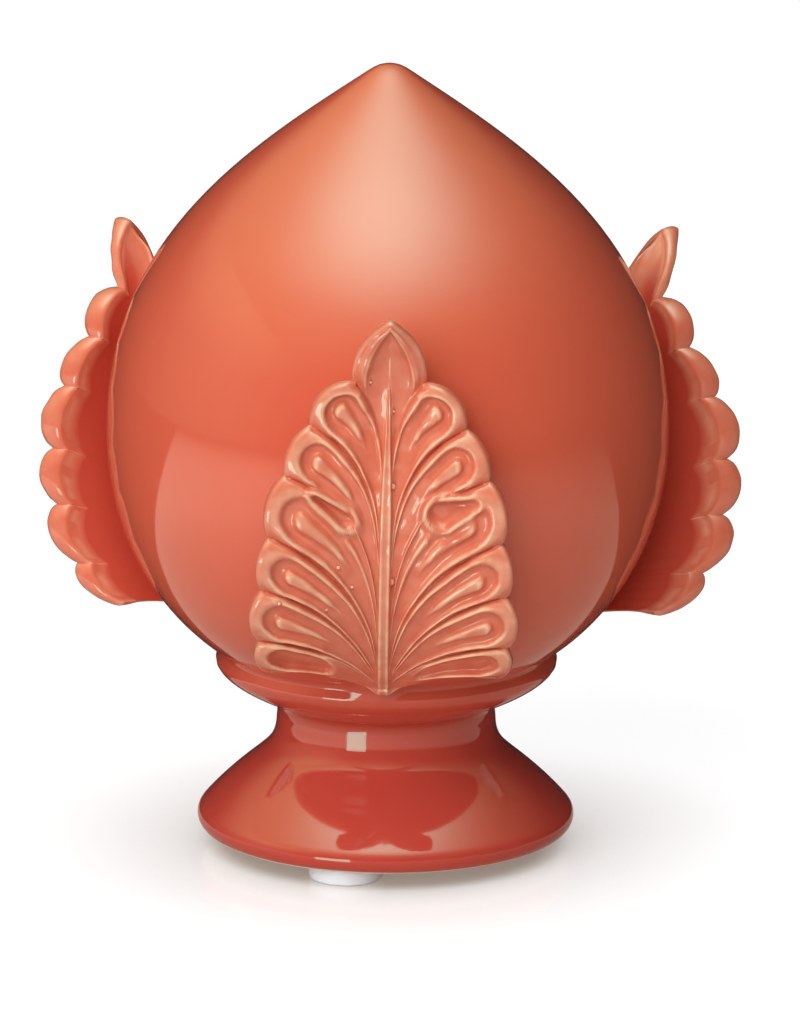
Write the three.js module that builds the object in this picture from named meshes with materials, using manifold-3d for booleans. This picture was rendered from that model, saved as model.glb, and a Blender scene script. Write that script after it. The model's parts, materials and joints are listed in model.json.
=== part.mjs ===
// A porcelain pumo: a pointed flower bud on a turned collar, neck and trumpet foot,
// with three acanthus leaves pressed in a mould, luted on and fired as one with it.
// It stands on three round stick-on feet. Millimetres, +Z up, the front leaf towards -Y.

import * as THREE from 'three';
import { mergeVertices } from 'three/addons/utils/BufferGeometryUtils.js';
import Module from 'manifold-3d';

const wasm = await Module();
wasm.setup();

// Turned body: radii, and heights above the flat underside of the foot
const budHeight = 137;
const budRadius = 48.9;
const budWidestHeight = 71.9;
const budShoulder = 31.5;
const budBelly = 21.5;
const tipRadius = 6;
const tipSlope = 0.68;
const tipReach = 19.6;
const creaseRadius = 28.8;
const creaseHeight = 32.2;
const creaseSteepness = 0.57;
const collarRadius = 30;
const collarHeight = 30.6;
const collarUnderRadius = 18.6;
const collarUnderHeight = 22.7;
const neckRadius = 19.2;
const neckHeight = 20.2;
const footRadius = 33.1;
const footEdge = 2.4;
const footFlare = 13.9;
const footFlareAngle = 0.73;

// Leaves: height and half width of one leaf, where it starts, and how it stands off the bud
const leafCount = 3;
const leafHeight = 69;
const leafHalfWidth = 20;
const leafFootHeight = 32.4;
const leafSheet = 2.4;
const leafEdgeThickness = 1.8;
const leafSunk = 0.6;
const leafFlare = 6;
const leafTipLean = 5.2;
const leafFreeLength = 18.5;
const leafRelief = 2.4;
const lobeBulge = 2;
const edgeRoll = 0.8;
const midribHalfWidth = 1.2;
const midribRise = 1.3;

// Stick-on feet under the base
const bumperCount = 3;
const bumperRadius = 6.4;
const bumperThickness = 3;
const bumperChamfer = 0.4;
const bumperCircleRadius = 23.6;
const bumperTurn = -16.7;

// Fineness of the facets
const bodySides = 48;
const bumperSides = 20;

// The veins that part the lobes, from the leaf's lower edge up to its tip. Each leaves the midrib
// at root, bends at bend and ends in a notch of the edge at end, as shares of the leaf's half width
// and height. flare is how far the edge stands out there, as a share of leafFlare, and lobe is how
// round the edge is from there to the next notch, as a share of lobeBulge.
const veins = [
  { root: 0, bend: [0.36, 0.075], end: [0.95, 0.078], flare: 1.05, lobe: 0.8 },
  { root: 0.027, bend: [0.39, 0.155], end: [1, 0.172], flare: 0.98, lobe: 1.1 },
  { root: 0.052, bend: [0.344, 0.265], end: [0.98, 0.315], flare: 1, lobe: 0.9 },
  { root: 0.08, bend: [0.115, 0.376], end: [0.93, 0.455], flare: 0.92, lobe: 1.1 },
  { root: 0.178, bend: [0.115, 0.425], end: [0.81, 0.61], flare: 0.57, lobe: 0.9 },
  { root: 0.43, bend: [0.115, 0.63], end: [0.61, 0.73], flare: 0.33, lobe: 1.4 },
  { root: 0.655, bend: [0.1, 0.81], end: [0.27, 0.837], flare: 0.2, lobe: 0.95 },
  { root: 0.93, bend: [0, 0.97], end: [0, 1], flare: 0, lobe: 0 },
];
const lastVein = veins.length - 1;
const eyeVein = 4;
const pouchInnerEnd = 0.38;

// How the maker's hand set each leaf: its turn from its even share of the round, its tilt in its
// own plane, how much higher it sits, how much further its tip leans out, how open its edge is
const settings = [
  { turn: -1, tilt: -1.1, lift: 0.2, lean: 0, open: 0.15 },
  { turn: 0, tilt: 0, lift: -0.4, lean: 3.2, open: 1.2 },
  { turn: 0, tilt: 0, lift: 1, lean: 0, open: 1 },
];

// Rows of the leaf grid across one lobe: groove, ridge, channel, drop, channel, ridge
const lobeRows = [0, 0.12, 0.29, 0.5, 0.71, 0.88];
const tipRows = [0, 0.36, 0.72];
const frontColumns = [0, 0.16, 0.34, 0.52, 0.68, 0.8, 0.91, 1];
const backColumns = [0, 0.5, 1];

const v2 = (x, y) => new THREE.Vector2(x, y);
const smooth = (low, high, x) => THREE.MathUtils.smoothstep(x, low, high);
const bell = (x, width) => Math.exp(-((x / width) ** 2));

// Points of a cubic curve from one point to another, without its first point
function sweep(from, leave, arrive, to, steps) {
  return new THREE.CubicBezierCurve(from, leave, arrive, to).getPoints(steps).slice(1);
}

// The bud's outline from its crease with the collar up to the widest ring, and on to the tip
function budOutline() {
  const crease = v2(creaseRadius, creaseHeight);
  const out = v2(Math.cos(creaseSteepness), Math.sin(creaseSteepness));
  const leave = out.multiplyScalar(budBelly / 2).add(crease);
  const widest = v2(budRadius, budWidestHeight);
  const below = v2(budRadius, budWidestHeight - budBelly);
  const above = v2(budRadius, budWidestHeight + budShoulder);
  const cone = (radius) => v2(radius, budHeight - tipSlope * radius);
  const tip = v2(0, budHeight - 0.3 * tipSlope * tipRadius);
  return [
    crease,
    ...sweep(crease, leave, below, widest, 7),
    ...sweep(widest, above, cone(tipRadius + tipReach), cone(tipRadius), 8),
    ...sweep(cone(tipRadius), cone(tipRadius * 0.45), v2(tipRadius * 0.35, tip.y), tip, 3),
  ];
}

// The whole outline of the body, from the middle of the underside up to the tip
function bodyOutline() {
  const inner = footRadius - footEdge;
  const edge = [];
  const edgeSteps = 4;
  for (let i = 0; i <= edgeSteps; i++) {
    const angle = -Math.PI / 2 + (i / edgeSteps) * (Math.PI / 2 + footFlareAngle);
    edge.push(v2(inner + footEdge * Math.cos(angle), footEdge + footEdge * Math.sin(angle)));
  }
  const rim = edge[edgeSteps];
  const leaveRim = v2(-Math.sin(footFlareAngle), Math.cos(footFlareAngle));
  const flare = leaveRim.multiplyScalar(footFlare).add(rim);
  const neck = v2(neckRadius, neckHeight);
  const under = v2(collarUnderRadius, collarUnderHeight);
  const collar = v2(collarRadius, collarHeight);
  const collarBulge = collarHeight - 0.42 * (collarHeight - collarUnderHeight);
  const underOut = v2(collarUnderRadius + 0.25 * (collarRadius - collarUnderRadius), collarUnderHeight + 1.4);
  return [
    v2(0, 0),
    ...edge,
    ...sweep(rim, flare, v2(neckRadius, 0.66 * neckHeight), neck, 4),
    under,
    ...sweep(under, underOut, v2(collarRadius, collarBulge), collar, 4),
    ...budOutline(),
  ];
}

// The bud's radius at a height, held at the collar's reach below it, where the leaves start
const budPoints = budOutline();
function seatRadius(height) {
  const least = collarRadius + 0.8;
  const above = budPoints.findIndex((point) => point.y > height);
  if (above < 1) return above === 0 ? least : 0;
  const [low, high] = [budPoints[above - 1], budPoints[above]];
  const share = (height - low.y) / (high.y - low.y);
  return Math.max(least, THREE.MathUtils.lerp(low.x, high.x, share));
}

// The leaf's middle line, front side: it follows the bud, then leans out towards its free tip
function middleReach(height, lean) {
  const leaves = leafFootHeight + leafHeight - leafFreeLength;
  const free = Math.max(0, height - leaves) / leafFreeLength;
  return seatRadius(Math.min(height, leaves)) + leafSheet + (leafTipLean + lean) * free * free;
}

// A value of the vein table at any place between two veins
function alongVeins(place, value) {
  const low = Math.min(Math.floor(place), lastVein - 1);
  return THREE.MathUtils.lerp(value(veins[low]), value(veins[low + 1]), place - low);
}

// The leaf's edge at a place between two notches: an arc out from the line that joins them,
// round for a lobe and pointed for the tip
function edgePoint(place) {
  const low = Math.min(Math.floor(place), lastVein - 1);
  const part = place - low;
  const at = (vein) => v2(vein.end[0] * leafHalfWidth, vein.end[1] * leafHeight);
  const from = at(veins[low]);
  const chord = at(veins[low + 1]).sub(from);
  const out = v2(chord.y, -chord.x).normalize();
  const isTip = low === lastVein - 1;
  const along = isTip ? part : (1 - Math.cos(Math.PI * part)) / 2;
  const bulge = isTip ? 4 * part * (1 - part) : Math.sin(Math.PI * part);
  return from.addScaledVector(chord, along).addScaledVector(out, bulge * lobeBulge * veins[low].lobe);
}

// Half the width of the midrib, which narrows to nothing at the tip
function ribHalfWidth(place) {
  return midribHalfWidth * (1 - smooth(lastVein - 3, lastVein, place));
}

// A point of the flat leaf: place counts veins up the leaf, reach goes from midrib to edge
function leafPoint(place, reach) {
  const start = v2(ribHalfWidth(place), alongVeins(place, (vein) => vein.root) * leafHeight);
  const bend = v2(
    alongVeins(place, (vein) => vein.bend[0]) * leafHalfWidth,
    alongVeins(place, (vein) => vein.bend[1]) * leafHeight,
  );
  return new THREE.QuadraticBezierCurve(start, bend, edgePoint(place)).getPoint(reach);
}

// Height of the carving. Across a lobe, side runs from 0 in its middle to 1 at its veins, and past
// its cap the ridge that edges the lobe closes round it, with a drop along the middle.
function carving(place, reach) {
  const low = Math.min(Math.floor(place), lastVein - 1);
  const part = place - low;
  const rise = leafRelief * (0.3 + 0.7 * smooth(0.2, 0.85, reach));
  if (low === lastVein - 1) {
    const lift = bell(Math.min(0, reach - 0.9), 0.13) * smooth(0, 0.15, part);
    return 0.6 * leafRelief * lift;
  }
  const cap = 0.8;
  const crest = 0.78;
  const side = 2 * Math.abs(part - 0.5);
  const past = Math.max(0, reach - cap) / (1 - cap);
  const q = Math.hypot(side, past);
  const fall = q > crest ? THREE.MathUtils.lerp(0.15, 0.3, Math.min(1, past)) : 0.17;
  let height = bell(q - crest, fall);
  if (low === 0) {
    const inner = Math.max(0, pouchInnerEnd - reach) / pouchInnerEnd;
    const round = Math.hypot(side, past, 2 * inner);
    height = bell(round - crest, round > crest ? 0.3 : 0.2);
  } else {
    height += 0.85 * bell(q, 0.22) * smooth(0.42, 0.66, reach);
  }
  const toEye = Math.abs(place - eyeVein);
  const plain = (1 - smooth(0.42, 0.5, reach)) * (1 - smooth(0.25, 0.45, toEye));
  const ring = bell(Math.hypot(toEye / 0.3, Math.min(0, reach - 0.55) / 0.1) - 1, 0.45);
  const eyeReach = smooth(0.4, 0.5, reach) * (1 - smooth(0.8, 0.95, reach));
  height = height * (1 - plain) * (1 - eyeReach * (1 - smooth(0.1, 0.3, toEye)));
  return rise * Math.max(height, eyeReach * ring * 0.9);
}

// Front and back of one leaf as distance from the axis
function frontReach(place, flat, setting) {
  const flare = setting.open * leafFlare * alongVeins(place, (vein) => vein.flare);
  const width = Math.max(edgePoint(place).x, 1);
  const share = Math.min(1, Math.abs(flat.x) / width);
  return middleReach(flat.y + leafFootHeight, setting.lean) + flare * share * share;
}

function sheetThickness(reach) {
  return THREE.MathUtils.lerp(leafSheet + leafSunk, leafEdgeThickness, smooth(0, 0.8, reach));
}

// Adds a grid of quads between rows of points, each quad as two triangles
function addRows(triangles, rows, turned) {
  for (let i = 0; i + 1 < rows.length; i++) {
    for (let j = 0; j + 1 < rows[i].length; j++) {
      const [a, b, c, d] = [rows[i][j], rows[i][j + 1], rows[i + 1][j + 1], rows[i + 1][j]];
      triangles.push(...(turned ? [a, c, b, a, d, c] : [a, b, c, a, c, d]));
    }
  }
}

// Closes the strip between two lines that share their ends, the second with fewer points
function addStrip(triangles, many, few, turned) {
  let j = 0;
  for (let i = 0; i + 1 < many.length; i++) {
    const next = Math.round(((i + 1) * (few.length - 1)) / (many.length - 1));
    triangles.push(...(turned ? [many[i], few[j], many[i + 1]] : [many[i], many[i + 1], few[j]]));
    if (next > j) {
      const [a, b, c] = [many[i + 1], few[next], few[j]];
      triangles.push(...(turned ? [a, c, b] : [a, b, c]));
      j = next;
    }
  }
}

// All places of the leaf's rows, lobe by lobe and then the tip
function rowPlaces() {
  const places = [];
  for (let low = 0; low < lastVein; low++) {
    const rows = low === lastVein - 1 ? tipRows : lobeRows;
    places.push(...rows.map((row) => low + row));
  }
  return [...places, lastVein];
}

// One half of a leaf, closed along its edge: front, rolled edge and back
function addHalfLeaf(triangles, hand, setting) {
  const places = rowPlaces();
  const tilt = THREE.MathUtils.degToRad(setting.tilt);
  const set = (flat, reach) => {
    const x = hand * flat.x * Math.cos(tilt) - flat.y * Math.sin(tilt);
    const z = flat.y * Math.cos(tilt) + hand * flat.x * Math.sin(tilt);
    return new THREE.Vector3(x, -reach, z + leafFootHeight + setting.lift);
  };
  const spine = (place) => v2(0, leafPoint(place, 0).y);
  const front = places.map((place) => {
    const rise = midribRise * Math.min(1, (2 * ribHalfWidth(place)) / midribHalfWidth);
    const top = frontReach(place, spine(place), setting) + rise;
    const points = frontColumns.map((reach) => {
      const flat = leafPoint(place, reach);
      return set(flat, frontReach(place, flat, setting) + carving(place, reach));
    });
    return [set(spine(place), top), ...points];
  });
  const back = places.map((place) =>
    backColumns.map((reach) => {
      const flat = reach === 0 ? spine(place) : leafPoint(place, reach);
      return set(flat, frontReach(place, flat, setting) - sheetThickness(reach));
    }),
  );
  const last = (row) => row[row.length - 1];
  const roll = places.map((place, i) => {
    const middle = last(front[i]).clone().add(last(back[i])).multiplyScalar(0.5);
    const from = edgePoint(Math.max(0, place - 0.03));
    const way = edgePoint(Math.min(lastVein, place + 0.03)).sub(from).normalize();
    const grow = place === lastVein ? v2(0, edgeRoll) : v2(hand * way.y, -way.x).multiplyScalar(edgeRoll);
    return middle.add(new THREE.Vector3(grow.x, 0, grow.y));
  });
  const turned = hand < 0;
  addRows(triangles, front, turned);
  addRows(triangles, front.map((row, i) => [last(row), roll[i], last(back[i])]), turned);
  addRows(triangles, back, !turned);
  addStrip(triangles, [...front[0], roll[0]], [...back[0]], !turned);
}

// Merges shared points and drops triangles that have shrunk to a line
function tidyMesh(geometry) {
  geometry.deleteAttribute('normal');
  geometry.deleteAttribute('uv');
  const merged = mergeVertices(geometry, 1e-4);
  const old = merged.index.array;
  const kept = [];
  for (let i = 0; i < old.length; i += 3) {
    const [a, b, c] = [old[i], old[i + 1], old[i + 2]];
    if (a !== b && b !== c && c !== a) kept.push(a, b, c);
  }
  merged.setIndex(kept);
  return merged;
}

function toSolid(geometry) {
  return new wasm.Manifold(
    new wasm.Mesh({
      numProp: 3,
      vertProperties: new Float32Array(geometry.attributes.position.array),
      triVerts: new Uint32Array(geometry.index.array),
    }),
  );
}

function toGeometry(solid) {
  const mesh = solid.getMesh();
  const geometry = new THREE.BufferGeometry();
  geometry.setAttribute('position', new THREE.BufferAttribute(mesh.vertProperties, 3));
  geometry.setIndex(new THREE.BufferAttribute(mesh.triVerts, 1));
  return geometry;
}

// A body turned from an outline of radii and heights
function turnedBody(outline, sides) {
  const geometry = new THREE.LatheGeometry(outline, sides);
  geometry.rotateX(Math.PI / 2);
  return tidyMesh(geometry);
}

function leafSolid(index) {
  const setting = settings[index % settings.length];
  const points = [];
  addHalfLeaf(points, 1, setting);
  addHalfLeaf(points, -1, setting);
  const geometry = tidyMesh(new THREE.BufferGeometry().setFromPoints(points));
  geometry.rotateZ(THREE.MathUtils.degToRad((index * 360) / leafCount + setting.turn));
  return toSolid(geometry);
}

// The porcelain: the turned body and its leaves as one solid
function porcelain() {
  let solid = toSolid(turnedBody(bodyOutline(), bodySides));
  for (let i = 0; i < leafCount; i++) {
    solid = solid.add(leafSolid(i));
  }
  return toGeometry(solid);
}

// A stick-on foot: a low round pad with a broken lower edge
function bumper() {
  const outline = [
    v2(0, 0),
    v2(bumperRadius - bumperChamfer, 0),
    v2(bumperRadius, bumperChamfer),
    v2(bumperRadius, bumperThickness),
    v2(0, bumperThickness),
  ];
  return turnedBody(outline, bumperSides);
}

const glaze = new THREE.MeshStandardMaterial({ color: 0xd4583c, roughness: 0.12, metalness: 0 });
const rubber = new THREE.MeshStandardMaterial({ color: 0xe9ecf2, roughness: 0.55, metalness: 0 });

const pumo = new THREE.Mesh(porcelain(), glaze);
pumo.name = 'pumo';

// The axis stands back from the origin, so that the origin is under the middle of the whole width
pumo.geometry.computeBoundingBox();
const axisBack = -(pumo.geometry.boundingBox.min.y + pumo.geometry.boundingBox.max.y) / 2;
pumo.position.set(0, axisBack, bumperThickness);

const group = new THREE.Group();
group.add(pumo);
for (let i = 0; i < bumperCount; i++) {
  const angle = THREE.MathUtils.degToRad(bumperTurn + (i * 360) / bumperCount);
  const foot = new THREE.Mesh(bumper(), rubber);
  foot.name = `bumper_foot_${i + 1}`;
  const x = bumperCircleRadius * Math.sin(angle);
  const y = axisBack - bumperCircleRadius * Math.cos(angle);
  foot.position.set(x, y, 0);
  group.add(foot);
}

export default group;
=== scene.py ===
# %% [markdown]
# # A glazed porcelain pumo
# A pumo is a flower bud about to open, made in porcelain and stood on a shelf or a newel post.
# This one is a turned bud on a collar, a neck and a trumpet foot, with three acanthus leaves
# pressed in a mould, stuck on with slip, and covered with one coral glaze. It stands on three
# stick-on feet. The measured frame is loaded first and never changed: the dressed pieces take
# the place of its nodes and keep to its size.

# %% The fixed frame
import json
import math

import bpy
import numpy as np
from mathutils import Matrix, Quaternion, Vector

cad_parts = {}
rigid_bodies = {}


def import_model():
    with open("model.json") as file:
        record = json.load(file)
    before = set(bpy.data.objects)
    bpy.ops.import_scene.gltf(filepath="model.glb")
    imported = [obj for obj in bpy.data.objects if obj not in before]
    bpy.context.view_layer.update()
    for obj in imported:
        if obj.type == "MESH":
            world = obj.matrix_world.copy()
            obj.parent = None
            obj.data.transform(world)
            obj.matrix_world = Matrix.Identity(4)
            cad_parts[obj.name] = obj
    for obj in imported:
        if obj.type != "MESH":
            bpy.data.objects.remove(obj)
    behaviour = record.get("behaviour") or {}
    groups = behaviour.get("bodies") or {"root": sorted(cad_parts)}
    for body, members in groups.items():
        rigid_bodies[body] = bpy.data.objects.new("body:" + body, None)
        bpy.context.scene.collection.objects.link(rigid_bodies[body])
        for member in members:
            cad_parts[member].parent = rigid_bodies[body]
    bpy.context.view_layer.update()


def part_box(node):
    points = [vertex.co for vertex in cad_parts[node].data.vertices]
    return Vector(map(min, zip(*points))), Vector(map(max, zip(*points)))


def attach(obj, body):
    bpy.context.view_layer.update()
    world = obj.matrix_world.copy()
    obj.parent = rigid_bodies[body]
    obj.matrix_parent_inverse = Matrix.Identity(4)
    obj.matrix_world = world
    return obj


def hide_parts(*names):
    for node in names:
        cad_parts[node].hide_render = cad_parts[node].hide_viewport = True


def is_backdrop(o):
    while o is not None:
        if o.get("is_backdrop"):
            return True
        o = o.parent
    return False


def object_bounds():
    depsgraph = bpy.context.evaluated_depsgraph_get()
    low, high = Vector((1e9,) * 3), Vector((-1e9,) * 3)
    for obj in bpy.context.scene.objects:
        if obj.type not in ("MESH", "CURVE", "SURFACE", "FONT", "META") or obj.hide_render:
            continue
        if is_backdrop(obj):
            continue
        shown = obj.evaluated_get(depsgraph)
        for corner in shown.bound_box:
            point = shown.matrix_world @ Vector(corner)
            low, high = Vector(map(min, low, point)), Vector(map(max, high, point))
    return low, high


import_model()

# %% [markdown]
# ## Units and small tools
# The shapes below are in millimetres, with heights above the porcelain's flat underside, as a
# potter would measure them. Only the last step turns them into metres, lifts them onto the
# stick-on feet and moves them to the body's axis.

# %% Small tools
MM = 0.001
PAD_THICKNESS = 3.0
BUD_RADIUS = 48.9
axis_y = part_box("pumo")[1].y / MM - BUD_RADIUS


def smooth(low, high, x):
    """Hermite step: nought below low, one above high, 3t^2 - 2t^3 between."""
    t = np.clip((x - low) / (high - low), 0, 1)
    return t * t * (3 - 2 * t)


def bell(x, width):
    """Gauss bell: e to the minus (x / width) squared."""
    return np.exp(-((x / width) ** 2))


def blend(a, b, share):
    """Straight mix of a and b."""
    return a + (b - a) * share


def bezier(points, steps):
    """Bernstein's sum over the control points at even parameters, without its first point."""
    t = np.linspace(0, 1, steps + 1)[1:, None]
    n = len(points) - 1
    weight = [math.comb(n, i) * (1 - t) ** (n - i) * t**i for i in range(n + 1)]
    return sum(w * np.array(p, float) for w, p in zip(weight, points))


def spaced(low, high, count, density):
    """Places from low to high, closer where density is high: equal steps of its integral."""
    x = np.linspace(low, high, 2001)
    total = np.r_[0, np.cumsum((density(x)[1:] + density(x)[:-1]) / 2)]
    return np.interp(np.linspace(0, total[-1], count), total, x)


print("axis stands back", round(axis_y, 2), "mm")

# %% [markdown]
# ## Faces and welding
# Every shape here is one or more grids of points. A grid of rows and columns gives two
# triangles for each cell, and grids that share an edge are welded by giving equal points one
# number.

# %% Grids to triangles
def grid_triangles(rows, columns, turned=False):
    """Cell (i, j) has corners i*columns + j and its neighbours; turned swaps the way it faces."""
    first = (np.arange(rows - 1)[:, None] * columns + np.arange(columns - 1)).ravel()
    a, b, c, d = first, first + 1, first + columns + 1, first + columns
    cells = np.r_[np.c_[a, b, c], np.c_[a, c, d]]
    return cells[:, ::-1] if turned else cells


def welded(patches):
    """Joins (points, triangles) patches: points equal to a ten-thousandth of a mm become one.

    Triangles that shrank to a line go, and so do pairs that lie back to back.
    """
    counts = np.cumsum([0] + [len(points) for points, _ in patches[:-1]])
    points = np.concatenate([points for points, _ in patches])
    faces = np.concatenate([tris + start for (_, tris), start in zip(patches, counts)])
    _, kept, number = np.unique(
        np.round(points[:, :3], 4), axis=0, return_index=True, return_inverse=True
    )
    faces = number.ravel()[faces]
    a, b, c = faces.T
    faces = faces[(a != b) & (b != c) & (c != a)]
    _, which, count = np.unique(
        np.sort(faces, axis=1), axis=0, return_inverse=True, return_counts=True
    )
    faces = faces[count[which.ravel()] == 1]
    used, number = np.unique(faces, return_inverse=True)
    return points[kept][used], number.reshape(-1, 3)


def edges_of(faces):
    """Each edge once, as a pair of point numbers, and how many triangles share it."""
    sides = np.concatenate([faces[:, [0, 1]], faces[:, [1, 2]], faces[:, [2, 0]]])
    return np.unique(np.sort(sides, axis=1), axis=0, return_counts=True)


# %% [markdown]
# ## The turned body
# On the real piece the bud, collar, neck and foot are one slip-cast form. Its outline is drawn
# as arcs and Bezier curves, end to end. Wet glaze rounds every inner corner, so the outline is
# walked at even steps and averaged over about a millimetre and a half, except at the bead it
# stands on and at the very tip.

# %% Outline of the body
FOOT_RADIUS, FOOT_EDGE = 33.1, 2.4
FLARE_REACH, FLARE_ANGLE = 13.9, 0.73
NECK = np.array((19.2, 20.2))
COLLAR_UNDER = np.array((18.6, 22.7))
COLLAR = np.array((30.0, 30.6))
CREASE = np.array((28.8, 32.2))
CREASE_STEEPNESS = 0.57
BUD_HEIGHT, BUD_WIDEST = 137.0, 71.9
BUD_SHOULDER, BUD_BELLY = 31.5, 21.5
TIP_RADIUS, TIP_SLOPE, TIP_REACH = 6.0, 0.68, 19.6


def bud_outline():
    """Three cubic curves: crease to widest ring, widest ring to the cone, cone to the blunt tip."""
    out = np.array((math.cos(CREASE_STEEPNESS), math.sin(CREASE_STEEPNESS)))
    widest = np.array((BUD_RADIUS, BUD_WIDEST))
    up = np.array((0, 1))

    def cone(radius):
        return np.array((radius, BUD_HEIGHT - TIP_SLOPE * radius))

    cone_top, tip = cone(TIP_RADIUS), np.array((0, BUD_HEIGHT - 0.3 * TIP_SLOPE * TIP_RADIUS))
    return np.concatenate([
        CREASE[None],
        bezier([CREASE, CREASE + out * BUD_BELLY / 2, widest - up * BUD_BELLY, widest], 60),
        bezier([widest, widest + up * BUD_SHOULDER, cone(TIP_RADIUS + TIP_REACH), cone_top], 80),
        bezier([cone_top, cone(0.45 * TIP_RADIUS), (0.35 * TIP_RADIUS, tip[1]), tip], 16),
    ])


def body_outline():
    """Underside, bead as an arc, foot, neck and collar as cubic curves, then the bud."""
    turn = np.linspace(-math.pi / 2, FLARE_ANGLE, 24)
    bead = np.c_[np.cos(turn), np.sin(turn)] * FOOT_EDGE + (FOOT_RADIUS - FOOT_EDGE, FOOT_EDGE)
    way = np.array((-math.sin(FLARE_ANGLE), math.cos(FLARE_ANGLE)))
    rise = COLLAR[1] - COLLAR_UNDER[1]
    under_out = (blend(COLLAR_UNDER[0], COLLAR[0], 0.25), COLLAR_UNDER[1] + 1.4)
    return np.concatenate([
        [(0, 0)],
        bead,
        bezier([bead[-1], bead[-1] + way * FLARE_REACH, (NECK[0], 0.66 * NECK[1]), NECK], 40),
        bezier([COLLAR_UNDER, under_out, (COLLAR[0], COLLAR[1] - 0.42 * rise), COLLAR], 30),
        bud_outline(),
    ])


def softened(outline, step=0.15, width=0.8):
    """Running mean along the arc length with a Hann window, faded out at the bead and the tip."""
    run = np.r_[0, np.cumsum(np.hypot(*np.diff(outline, axis=0).T))]
    s = np.arange(0, run[-1], step)
    line = np.c_[np.interp(s, run, outline[:, 0]), np.interp(s, run, outline[:, 1])]
    window = np.hanning(2 * round(width / step) + 3)[1:-1]
    mean = np.c_[[np.convolve(line[:, k], window / window.sum(), "same") for k in (0, 1)]].T
    bead_end = FOOT_RADIUS - FOOT_EDGE + FOOT_EDGE * (math.pi / 2 + FLARE_ANGLE)
    share = smooth(bead_end, bead_end + 3, s) * (1 - smooth(run[-1] - 12, run[-1] - 6, s))
    line = blend(line, mean, share[:, None])
    return np.r_[line, outline[-1:]]


body_line = softened(body_outline())
print("outline of", len(body_line), "points, widest", round(body_line[:, 0].max(), 2), "mm")

# %% [markdown]
# The rings lie close round the bead, the neck and the collar, where the outline bends sharply,
# and wide apart on the calm bud. That keeps the mesh light without any facet showing.

# %% The body as a closed grid
BODY_SIDES, BODY_RINGS = 184, 118


def ring_density(s):
    """Rings per mm along the outline: few under the foot, most at the bead, fewer on the bud."""
    length = body_run[-1]
    low = 0.1 + 2.4 * smooth(27, 31, s) - 1.1 * smooth(37, 42, s)
    return low - 0.85 * smooth(82, 95, s) + 0.9 * smooth(length - 16, length - 4, s)


def turned(outline, sides):
    """Point (r, z) at angle a goes to (r sin a, -r cos a, z)."""
    angle = np.arange(sides + 1) % sides * 2 * math.pi / sides
    r, z = outline[:, :1], outline[:, 1:]
    points = np.stack([r * np.sin(angle), -r * np.cos(angle), z + 0 * angle], -1)
    return welded([(points.reshape(-1, 3), grid_triangles(len(outline), sides + 1))])


body_run = np.r_[0, np.cumsum(np.hypot(*np.diff(body_line, axis=0).T))]
ring_at = spaced(0, body_run[-1], BODY_RINGS, ring_density)
rings = np.c_[
    np.interp(ring_at, body_run, body_line[:, 0]), np.interp(ring_at, body_run, body_line[:, 1])
]
rings[0], rings[-1] = (0, 0), (0, rings[-1][1])
body = turned(rings, BODY_SIDES)
print("body", len(body[1]), "triangles")

# %% [markdown]
# ## The leaf as a map
# An acanthus leaf is a fan of lobes. Eight veins run from the midrib to the notches of the
# edge, so any spot of the leaf has two numbers: its place, which counts veins from the lower
# edge up to the tip, and its reach, from nought at the midrib to one at the edge. The veins
# end where they do in the measured frame, so the outline agrees with it. Lobe n lies between
# the veins n and n + 1.

# %% Veins of the leaf
LEAF_HEIGHT, LEAF_HALF = 69.0, 20.0
LOBE_BULGE, NOTCH_SOFT = 2.0, 0.5
MIDRIB_HALF, MIDRIB_FINE, MIDRIB_RISE = 1.1, 0.32, 1.3
# the places between which the midrib narrows and ends
RIB_NARROWS, RIB_ENDS = (5.3, 6.7), (6.5, 6.8)
# root, bend (across, up), end (across, up), how round the lobe above it is
veins = np.array([
    (0, 0.36, 0.075, 0.95, 0.078, 0.8),
    (0.027, 0.39, 0.155, 1, 0.172, 1.1),
    (0.052, 0.344, 0.265, 0.98, 0.315, 0.9),
    (0.08, 0.115, 0.34, 0.93, 0.455, 1.1),
    (0.21, 0.115, 0.54, 0.81, 0.61, 0.9),
    (0.43, 0.115, 0.66, 0.61, 0.73, 1.4),
    (0.655, 0.1, 0.79, 0.27, 0.837, 0.95),
    (0.93, 0, 0.97, 0, 1, 0),
])
LAST = len(veins) - 1
leaf_size = np.array((LEAF_HALF, LEAF_HEIGHT))


def along_veins(place, column):
    """The vein table's column, read straight between the two nearest veins."""
    return np.interp(place, np.arange(LAST + 1), veins[:, column])


def edge_point(place):
    """From notch to notch: the chord plus an arch for a lobe, a parabola for the tip.

    The arch is the root of sine squared plus a little, so glaze seems to fill the notch.
    """
    low = np.minimum(np.floor(place), LAST - 1).astype(int)
    part, tip = place - low, low == LAST - 1
    start, end = veins[low][..., 3:5] * leaf_size, veins[low + 1][..., 3:5] * leaf_size
    chord = end - start
    out = np.stack([chord[..., 1], -chord[..., 0]], -1) / np.linalg.norm(chord, axis=-1)[..., None]
    along = np.where(tip, part, (1 - np.cos(np.pi * part)) / 2)
    arch = np.hypot(np.sin(np.pi * part), NOTCH_SOFT) - NOTCH_SOFT
    arch = arch / (math.hypot(1, NOTCH_SOFT) - NOTCH_SOFT)
    bulge = np.where(tip, 4 * part * (1 - part), arch) * LOBE_BULGE * veins[low][..., 5]
    return start + chord * along[..., None] + out * bulge[..., None]


def rib_half(place):
    """Half the midrib's width, which narrows to a fine line that ends in the tip."""
    width = blend(MIDRIB_HALF, MIDRIB_FINE, smooth(*RIB_NARROWS, place))
    return width * (1 - smooth(*RIB_ENDS, place))


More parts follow.
